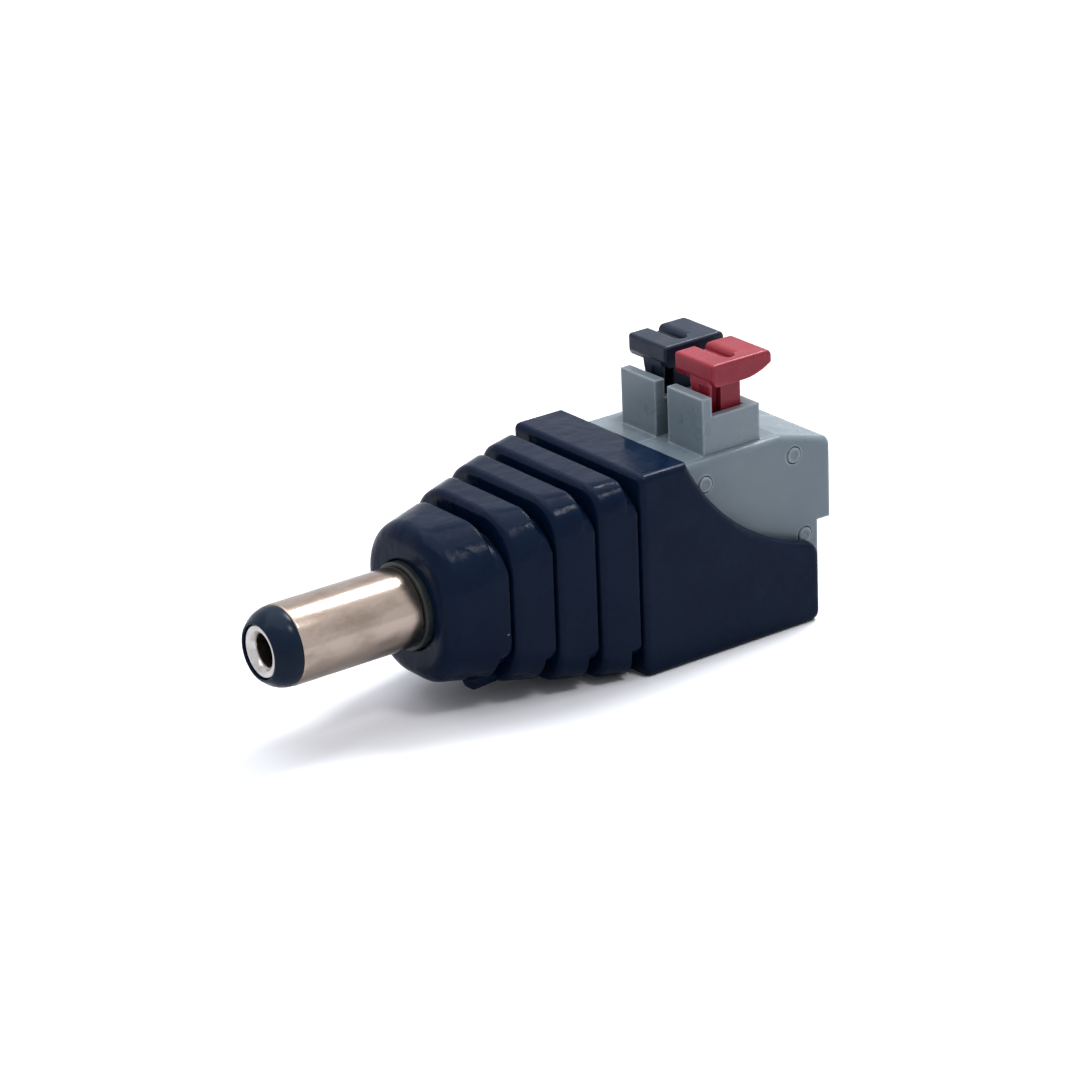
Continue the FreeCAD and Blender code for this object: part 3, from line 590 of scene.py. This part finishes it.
@dataclass(frozen=True)
class Barrel:
    """The barrel plug, turned about the barrel's axis, in mm.

    Attributes:
        sleeve_r: outer radius of the sleeve.
        sleeve_wall: wall of the sleeve.
        sleeve_front: front end of the sleeve.
        sleeve_end: rear end of the sleeve's flange.
        shank_r: radius of the sleeve's shank in the collar.
        flange_r: radius of the sleeve's flange.
        flange_length: length of the sleeve's flange.
        tip_front: front end of the tip.
        tip_r: radius of the tip's head.
        tip_taper: (distance from the front, radius) of each corner of the tapering head.
        core_r: radius of the tip's tube inside the sleeve.
        core_end: rear end of that tube.
        seat_r: radius of the seat of the contact's lip.
        seat_depth: depth of that seat.
        contact_r: outer radius of the contact.
        contact_bore: radius of the contact's bore.
        contact_front: front of the contact's lip.
        contact_end: rear end of the contact.
        lip_r: radius of the contact's lip.
        lip_length: length of the contact's lip.
        flare: how far the contact's mouth opens.
        rivet_r: radius of the contact's rivet lip.
        rivet_length: length of the rivet lip.
        collar_r: radius of the collar in the boot's hole.
        collar_flange_r: radius of the collar's flange.
        collar_flange_x: front of the collar's flange.
        collar_end: rear end of the collar.
        fit: room between nested pieces.
        burr: rounding of the edges that hardly show.
        sleeve_roll: rounding of the sleeve's front edge.
        sleeve_rear_roll: rounding of the sleeve's rear edge.
        tip_rolls: rounding of each corner of the tapering head.
        lip_roll: rounding of the contact's lip.
        mouth_roll: rounding where the lip meets the flare.
        throat_roll: rounding where the flare meets the bore.
        rivet_roll: rounding of the rivet lip.
        collar_roll: rounding of the collar's front edge.
        collar_burr: rounding of the edge of the collar's bore.
    """

    sleeve_r: float = 2.75
    sleeve_wall: float = 0.4
    sleeve_front: float = -9.3
    sleeve_end: float = 3.84
    shank_r: float = 2.58
    flange_r: float = 3.1
    flange_length: float = 0.4
    tip_front: float = -11.0
    tip_r: float = 2.71
    tip_taper: tuple[tuple[float, float], ...] = ((0.0, 1.98), (0.62, 2.5), (1.3, 2.71))
    core_r: float = 2.32
    core_end: float = 4.26
    seat_r: float = 1.83
    seat_depth: float = 0.49
    contact_r: float = 1.45
    contact_bore: float = 1.05
    contact_front: float = -10.88
    contact_end: float = 6.02
    lip_r: float = 1.8
    lip_length: float = 0.35
    flare: float = 0.35
    rivet_r: float = 1.9
    rivet_length: float = 0.5
    collar_r: float = 2.98
    collar_flange_r: float = 3.45
    collar_flange_x: float = 2.12
    collar_end: float = 3.42
    fit: float = 0.03
    burr: float = 0.05
    sleeve_roll: float = 0.14
    sleeve_rear_roll: float = 0.12
    tip_rolls: tuple[float, ...] = (0.1, 0.3, 0.2)
    lip_roll: float = 0.14
    mouth_roll: float = 0.12
    throat_roll: float = 0.2
    rivet_roll: float = 0.1
    collar_roll: float = 0.1
    collar_burr: float = 0.04

    def build(self, made: dict[str, bpy.types.Material]) -> None:
        """Builds the barrel's four pieces.

        Args:
            made: the finishes by name.
        """
        self.sleeve(made["nickel"])
        self.tip(made["tip"])
        self.contact(made["mouth"])
        self.collar(made["collar"])

    def spun(self, name: str, outline: tuple[tuple[float, float], ...],
             soft: tuple[tuple[float, float, float], ...]) -> Form:
        """Spins an outline about the barrel's axis and rounds some of its edges.

        Args:
            name: name of the piece.
            outline: (x, radius) of each corner.
            soft: (x, radius, size) of each rounding.

        Returns:
            The form.
        """
        form = Form(name)
        form.turned(outline, BARREL_AXIS, ORIGIN)
        for place, radius, offset in soft:
            form.soften(place, radius, offset, ORIGIN, BARREL_AXIS)
        return form

    def sleeve(self, material: bpy.types.Material) -> None:
        """Makes the plated sleeve, with rolled front edges."""
        inner = self.sleeve_r - self.sleeve_wall
        flange_x = self.sleeve_end - self.flange_length
        outline = ((self.sleeve_front, inner), (self.sleeve_front, self.sleeve_r), (0.0, self.sleeve_r),
                   (0.0, self.shank_r), (flange_x, self.shank_r), (flange_x, self.flange_r),
                   (self.sleeve_end, self.flange_r), (self.sleeve_end, inner))
        soft = ((self.sleeve_front, self.sleeve_r, self.sleeve_roll),
                (self.sleeve_front, inner, self.burr),
                (0.0, self.sleeve_r, self.sleeve_rear_roll),
                (self.sleeve_end, self.flange_r, self.burr))
        piece = self.spun("plated_sleeve", outline, soft).finish(material, Slot.NICKEL)
        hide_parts("barrel_sleeve")

    def tip(self, material: bpy.types.Material) -> None:
        """Makes the tip with its tapering head and the seat of the contact's lip."""
        bore = self.contact_r + self.fit
        seat_x = self.tip_front + self.seat_depth
        brim_x = self.sleeve_front - self.fit
        taper = tuple((self.tip_front + back, radius) for back, radius in self.tip_taper)
        outline = ((seat_x, bore), (seat_x, self.seat_r), (self.tip_front, self.seat_r), *taper,
                   (brim_x, self.tip_r), (brim_x, self.core_r),
                   (self.core_end, self.core_r), (self.core_end, bore))
        soft = (*((*corner, roll) for corner, roll in zip(taper, self.tip_rolls)),
                (brim_x, self.tip_r, self.burr))
        piece = self.spun("rounded_tip", outline, soft).finish(material, Slot.TIP)
        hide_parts("tip_insulator")

    def contact(self, material: bpy.types.Material) -> None:
        """Makes the centre contact with its flared, rolled mouth."""
        lip_rear = self.contact_front + self.lip_length
        rivet_x = self.contact_end - self.rivet_length
        flare_x = self.contact_front + self.flare
        flare_r = self.contact_bore + self.flare
        outline = ((flare_x, self.contact_bore), (self.contact_front, flare_r),
                   (self.contact_front, self.lip_r), (lip_rear, self.lip_r), (lip_rear, self.contact_r),
                   (rivet_x, self.contact_r), (rivet_x, self.rivet_r), (self.contact_end, self.rivet_r),
                   (self.contact_end, self.contact_bore))
        soft = ((self.contact_front, self.lip_r, self.lip_roll),
                (self.contact_front, flare_r, self.mouth_roll),
                (flare_x, self.contact_bore, self.throat_roll),
                (self.contact_end, self.rivet_r, self.rivet_roll))
        piece = self.spun("flared_contact", outline, soft).finish(material, Slot.CONTACT)
        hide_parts("centre_contact")

    def collar(self, material: bpy.types.Material) -> None:
        """Makes the collar that closes the boot's hole round the sleeve."""
        bore = self.shank_r + self.fit
        front = self.fit
        outline = ((front, bore), (front, self.collar_r), (self.collar_flange_x, self.collar_r),
                   (self.collar_flange_x, self.collar_flange_r), (self.collar_end, self.collar_flange_r),
                   (self.collar_end, bore))
        soft = ((front, self.collar_r, self.collar_roll), (front, bore, self.collar_burr))
        piece = self.spun("soft_collar", outline, soft).finish(material, Slot.COLLAR)
        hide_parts("rear_collar")


@dataclass(frozen=True)
class ClampStrip:
    """Bent strip spring of one pole, in mm.

    Attributes:
        pole: whose spring it is.
        near: near side of the strip.
        width: width of the strip.
        thickness: thickness of the strip.
        rear_x: rear end of the leg on the floor.
        bend_x: centre of the front bend along the body.
        floor_z: middle of the leg on the floor.
        bend_r: radius of the bend's middle.
        tip: end of the raised leg, as (x, z).
        kink: rounding where the raised leg starts.
        foot_z: underside of the strip, which stays where it is.
        keep: share of its height that the strip keeps when its button is down; not used.
        bend_steps: faces round the front bend.
        kink_steps: faces round the kink.
    """

    pole: Press
    near: float
    width: float = 2.1
    thickness: float = 0.22
    rear_x: float = 28.68
    bend_x: float = 21.1
    floor_z: float = -4.75
    bend_r: float = 1.15
    tip: tuple[float, float] = (26.38, 3.88)
    kink: float = 0.5
    foot_z: float = -4.88
    keep: float = 0.57
    bend_steps: int = 20
    kink_steps: int = 6

    def build(self, made: dict[str, bpy.types.Material]) -> None:
        """Builds the strip: floor leg, half-turn bend, raised leg.

        Args:
            made: the finishes by name.
        """
        form = Form(self.pole.value + "_strip_spring")
        mesh = form.mesh
        far = self.near + self.width
        start = [mesh.verts.new((self.rear_x, y, self.floor_z)) for y in (self.near, far)]
        edge = mesh.edges.new(start)
        edge = self.pulled(mesh, edge, (self.bend_x - self.rear_x, 0.0, 0.0))
        middle = (self.bend_x, self.near, self.floor_z + self.bend_r)
        turned = bmesh.ops.spin(mesh, geom=[*edge.verts, edge], cent=middle, axis=(0.0, 1.0, 0.0),
                                angle=math.pi, steps=self.bend_steps)["geom_last"]
        edge = next(item for item in turned if isinstance(item, bmesh.types.BMEdge))
        top_z = self.floor_z + 2 * self.bend_r
        rise = (self.tip[0] - self.bend_x, 0.0, self.tip[1] - top_z)
        self.pulled(mesh, edge, rise)
        bmesh.ops.remove_doubles(mesh, verts=mesh.verts, dist=NEAR)
        kinks = [item for item in mesh.edges
                 if all((v.co - Vector((self.bend_x, v.co.y, top_z))).length < NEAR for v in item.verts)]
        bmesh.ops.bevel(mesh, geom=kinks, offset=self.kink, offset_type="OFFSET", affect="EDGES",
                        segments=self.kink_steps, profile=0.5, material=-1)
        bmesh.ops.recalc_face_normals(mesh, faces=mesh.faces)
        bmesh.ops.solidify(mesh, geom=mesh.faces[:], thickness=self.thickness)
        drop = self.foot_z - min(v.co.z for v in mesh.verts)
        bmesh.ops.translate(mesh, verts=mesh.verts, vec=(0.0, 0.0, drop))
        piece = form.finish(made["steel"], Slot.STEEL)
        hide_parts(self.pole.value + "_clamp_spring")
        self.pole.joint()
        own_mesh(piece)

    def pulled(self, mesh: bmesh.types.BMesh, edge: bmesh.types.BMEdge, way: Point) -> bmesh.types.BMEdge:
        """Extrudes an edge of the strip.

        Args:
            mesh: the strip's mesh.
            edge: the edge.
            way: how far the new edge goes.

        Returns:
            The new edge.
        """
        fresh = bmesh.ops.extrude_edge_only(mesh, edges=[edge])["geom"]
        verts = [item for item in fresh if isinstance(item, bmesh.types.BMVert)]
        bmesh.ops.translate(mesh, verts=verts, vec=way)
        return next(item for item in fresh if isinstance(item, bmesh.types.BMEdge)
                    and all(v in verts for v in item.verts))


@dataclass(frozen=True)
class PegCrowns:
    """Domed ends of the pegs that show in the side cover, in mm.

    Attributes:
        places: (x, z) of each peg.
        face_y: outer face of the side cover.
        radius: radius of a peg.
        rise: how far a crown stands out.
        hollow: depth of the dimple in its middle.
        dimple: radius of the dimple as a share of the peg's.
        roll: rounding of the rim.
        steps: faces round a crown.
        roll_steps: faces across the rounding.
    """

    places: tuple[tuple[float, float], ...] = ((20.9, 4.6), (28.5, 4.7), (29.35, -1.25))
    face_y: float = -5.7
    radius: float = 0.54
    rise: float = 0.09
    hollow: float = 0.06
    dimple: float = 0.45
    roll: float = 0.08
    steps: int = 48
    roll_steps: int = 4

    def build(self, made: dict[str, bpy.types.Material]) -> None:
        """Builds the crowns, each with a rolled rim and a shallow dimple.

        Args:
            made: the finishes by name.
        """
        axis = (0.0, -1.0, 0.0)
        dimple_r = self.dimple * self.radius
        for number, (x, z) in enumerate(self.places, start=1):
            form = Form(f"peg_crown_{number}")
            centre = (x, self.face_y, z)
            outline = ((0.0, 0.0), (0.0, self.radius), (self.rise, self.radius),
                       (self.rise, dimple_r), (self.rise - self.hollow, 0.0))
            form.turned(outline, axis, centre, self.steps)
            form.soften(self.rise, self.radius, self.roll, centre, axis, self.roll_steps)
            form.finish(made["cover"], Slot.NYLON)


@dataclass(frozen=True)
class GateStub:
    """Short moulding stub left under the boot's first ring, in mm.

    Attributes:
        centre: middle of the stub.
        size: its length, width and height.
        taper: how much narrower its lower end is.
        round: rounding of its edges.
        round_steps: faces across the rounding.
    """

    centre: Point = (4.3, -2.6, -5.45)
    size: Point = (2.6, 1.4, 1.0)
    taper: float = 0.8
    round: float = 0.28
    round_steps: int = 4

    def build(self, made: dict[str, bpy.types.Material]) -> None:
        """Builds the stub, tapering down and broken off a little uneven.

        Args:
            made: the finishes by name.
        """
        form = Form("gate_stub")
        mesh = form.mesh
        bmesh.ops.create_cube(mesh, size=1.0)
        bmesh.ops.scale(mesh, verts=mesh.verts, vec=self.size)
        low = [vert for vert in mesh.verts if vert.co.z < 0.0]
        bmesh.ops.scale(mesh, verts=low, vec=(self.taper, self.taper, 1.0))
        bmesh.ops.translate(mesh, verts=[v for v in low if v.co.x > 0.0], vec=(0.0, 0.0, self.round / 2))
        bmesh.ops.bevel(mesh, geom=mesh.edges[:], offset=self.round, offset_type="OFFSET",
                        affect="EDGES", segments=self.round_steps, profile=0.5, material=-1)
        bmesh.ops.translate(mesh, verts=mesh.verts, vec=self.centre)
        form.finish(made["moulding"])


@dataclass(frozen=True)
class Camera:
    """The photograph's viewpoint, in mm about the foot of the box's front.

    Attributes:
        azimuth: angle round the object, in degrees.
        elevation: angle above the horizon, in degrees.
        roll: turn about the view's axis, in degrees.
        distance: distance to the foot of the box.
        shift: move across the view, right and up.
        foot: place of the foot of the box in the frame.
        lens: focal length.
        sensor: width of the sensor.
        nearest: distance in metres under which nothing is seen.
    """

    azimuth: float = -36.06
    elevation: float = 22.112
    roll: float = -2.319
    distance: float = 301.8
    shift: tuple[float, float] = (-2.867, 7.195)
    foot: Point = (14.6, 0.0, -7.1)
    lens: float = 150.0
    sensor: float = 36.0
    nearest: float = 0.01

    def place(self) -> None:
        """Makes the camera and sets it as the scene's."""
        turn = math.radians(self.azimuth)
        lift = math.radians(self.elevation)
        back = Vector((math.sin(turn) * math.cos(lift), -math.cos(turn) * math.cos(lift), math.sin(lift)))
        right = (-back).cross(Vector((0.0, 0.0, 1.0))).normalized()
        up = right.cross(-back)
        roll = math.radians(self.roll)
        across = math.cos(roll) * right + math.sin(roll) * up
        along = -math.sin(roll) * right + math.cos(roll) * up
        spot = Vector(self.foot) + back * self.distance + across * self.shift[0] + along * self.shift[1]
        data = bpy.data.cameras.new("photo_camera")
        data.lens = self.lens
        data.sensor_width = self.sensor
        data.clip_start = self.nearest
        camera = bpy.data.objects.new("photo_camera", data)
        matrix = Matrix((across, along, back)).transposed().to_4x4()
        matrix.translation = spot * MM
        camera.matrix_world = matrix
        bpy.context.scene.collection.objects.link(camera)
        bpy.context.scene.camera = camera


@dataclass(frozen=True)
class Softbox:
    """One square lamp that looks at the object.

    Attributes:
        name: name of the lamp.
        towards: direction from the object to the lamp.
        distance: distance in metres.
        size: side in metres.
        power: power in watts.
        colour: colour of the light.
    """

    name: str
    towards: Point
    distance: float
    size: float
    power: float
    colour: Colour = (1.0, 1.0, 1.0)

    def place(self, target: Vector) -> None:
        """Makes the lamp.

        Args:
            target: point that it looks at.
        """
        data = bpy.data.lights.new(self.name, "AREA")
        data.size = self.size
        data.energy = self.power
        data.color = self.colour
        lamp = bpy.data.objects.new(self.name, data)
        way = Vector(self.towards).normalized()
        lamp.matrix_world = Matrix.Translation(target + way * self.distance) @ (
            way.to_track_quat("Z", "Y").to_matrix().to_4x4())
        bpy.context.scene.collection.objects.link(lamp)


@dataclass
class Studio:
    """White floor and sky, soft lamps and the photograph's camera.

    Attributes:
        lamps: the lamps.
        floor_reach: distance from the middle of the floor to its sides, in metres.
        floor_colour: colour of the floor for the light that it sends back.
        floor_seen: colour of the floor for the camera.
        floor_roughness: roughness of the floor.
        sky_front: light of the sky in front of the object.
        sky_back: light of the sky behind it.
        sky_band: directions along Y between which the sky goes from front to back.
        sky_seen: light of the sky in what the object mirrors.
        sky_colour: colour of the sky's light.
    """

    lamps: tuple[Softbox, ...] = (
        Softbox("key", (0.545, 0.154, 0.824), 0.36, 0.12, 0.95),
        Softbox("glint", (0.15, -0.48, 0.86), 0.36, 0.07, 0.28),
        Softbox("top", (-0.1, 0.2, 1.0), 0.45, 0.5, 1.15, (0.97, 0.98, 1.0)),
    )
    floor_reach: float = 0.6
    floor_colour: Colour = (0.7, 0.71, 0.74)
    floor_seen: Colour = (1.03, 1.04, 1.08)
    floor_roughness: float = 0.9
    sky_front: float = 0.19
    sky_back: float = 0.82
    sky_band: tuple[float, float] = (-0.7, 0.5)
    sky_seen: float = 0.98
    sky_colour: Colour = (0.94, 0.955, 1.0)

    def build(self) -> None:
        """Makes the floor, the sky, the lamps and the camera."""
        low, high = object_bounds()
        self.make_floor(low.z)
        self.make_sky()
        for lamp in self.lamps:
            lamp.place((low + high) / 2)
        Camera().place()
        view = bpy.context.scene.view_settings
        view.view_transform = "Standard"
        LOG.info("studio is up")

    def make_floor(self, height: float) -> None:
        """Makes the pale floor, which camera rays see lighter.

        Args:
            height: height of the floor in metres.
        """
        form = bmesh.new()
        bmesh.ops.create_grid(form, x_segments=1, y_segments=1, size=self.floor_reach)
        bmesh.ops.translate(form, verts=form.verts, vec=(0.0, 0.0, height))
        mesh = bpy.data.meshes.new("floor")
        form.to_mesh(mesh)
        form.free()
        floor = bpy.data.objects.new("floor", mesh)
        bpy.context.scene.collection.objects.link(floor)
        shade = Shade("floor")
        shade.set(Roughness=self.floor_roughness, Specular_IOR_Level=0.0)
        path = shade.nodes.new("ShaderNodeLightPath")
        shade.feed("Base Color", shade.blend(path.outputs["Is Camera Ray"], self.floor_colour,
                                             self.floor_seen))
        mesh.materials.append(shade.material)
        floor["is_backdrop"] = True

    def make_sky(self) -> None:
        """Makes the world: white for the camera, and darker in front than behind for the rest."""
        world = bpy.data.worlds.new("sky")
        bpy.context.scene.world = world
        world.use_nodes = True
        nodes, links = world.node_tree.nodes, world.node_tree.links
        ground = nodes["Background"]
        place = nodes.new("ShaderNodeTexCoord")
        split = nodes.new("ShaderNodeSeparateXYZ")
        links.new(place.outputs["Generated"], split.inputs["Vector"])
        ramp = nodes.new("ShaderNodeMapRange")
        ramp.inputs["From Min"].default_value, ramp.inputs["From Max"].default_value = self.sky_band
        ramp.inputs["To Min"].default_value = self.sky_front
        ramp.inputs["To Max"].default_value = self.sky_back
        links.new(split.outputs["Y"], ramp.inputs["Value"])
        path = nodes.new("ShaderNodeLightPath")
        seen = self.choice(nodes, links, path.outputs["Is Glossy Ray"], ramp.outputs["Result"], self.sky_seen)
        seen = self.choice(nodes, links, path.outputs["Is Camera Ray"], seen, 1.0)
        links.new(seen, ground.inputs["Strength"])
        tint = nodes.new("ShaderNodeMix")
        tint.data_type = "RGBA"
        links.new(path.outputs["Is Camera Ray"], tint.inputs["Factor"])
        tint.inputs[MIX_LOW].default_value = (*self.sky_colour, 1.0)
        tint.inputs[MIX_HIGH].default_value = (1.0, 1.0, 1.0, 1.0)
        links.new(tint.outputs[MIX_RESULT], ground.inputs["Color"])

    def choice(self, nodes: bpy.types.Nodes, links: bpy.types.NodeLinks, when: bpy.types.NodeSocket,
               usual: bpy.types.NodeSocket, other: float) -> bpy.types.NodeSocket:
        """Picks another strength for one kind of ray.

        Args:
            nodes: the world's nodes.
            links: the world's links.
            when: 1 for that kind of ray.
            usual: strength for the rest.
            other: strength for that kind.

        Returns:
            The picked strength.
        """
        pick = nodes.new("ShaderNodeMix")
        links.new(when, pick.inputs["Factor"])
        links.new(usual, pick.inputs["A"])
        pick.inputs["B"].default_value = other
        return pick.outputs["Result"]


def main() -> None:
    """Dresses the frame, adds the finer pieces and sets up the studio."""
    logging.basicConfig(level=logging.INFO, format="%(message)s")
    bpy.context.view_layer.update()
    made = Finishes().dress(frame["nodes"])
    Barrel().build(made)
    ClampStrip(Press.RED, -4.3).build(made)
    ClampStrip(Press.BLACK, 0.7).build(made)
    PegCrowns().build(made)
    GateStub().build(made)
    Studio().build()


if __name__ == "__main__":
    main()
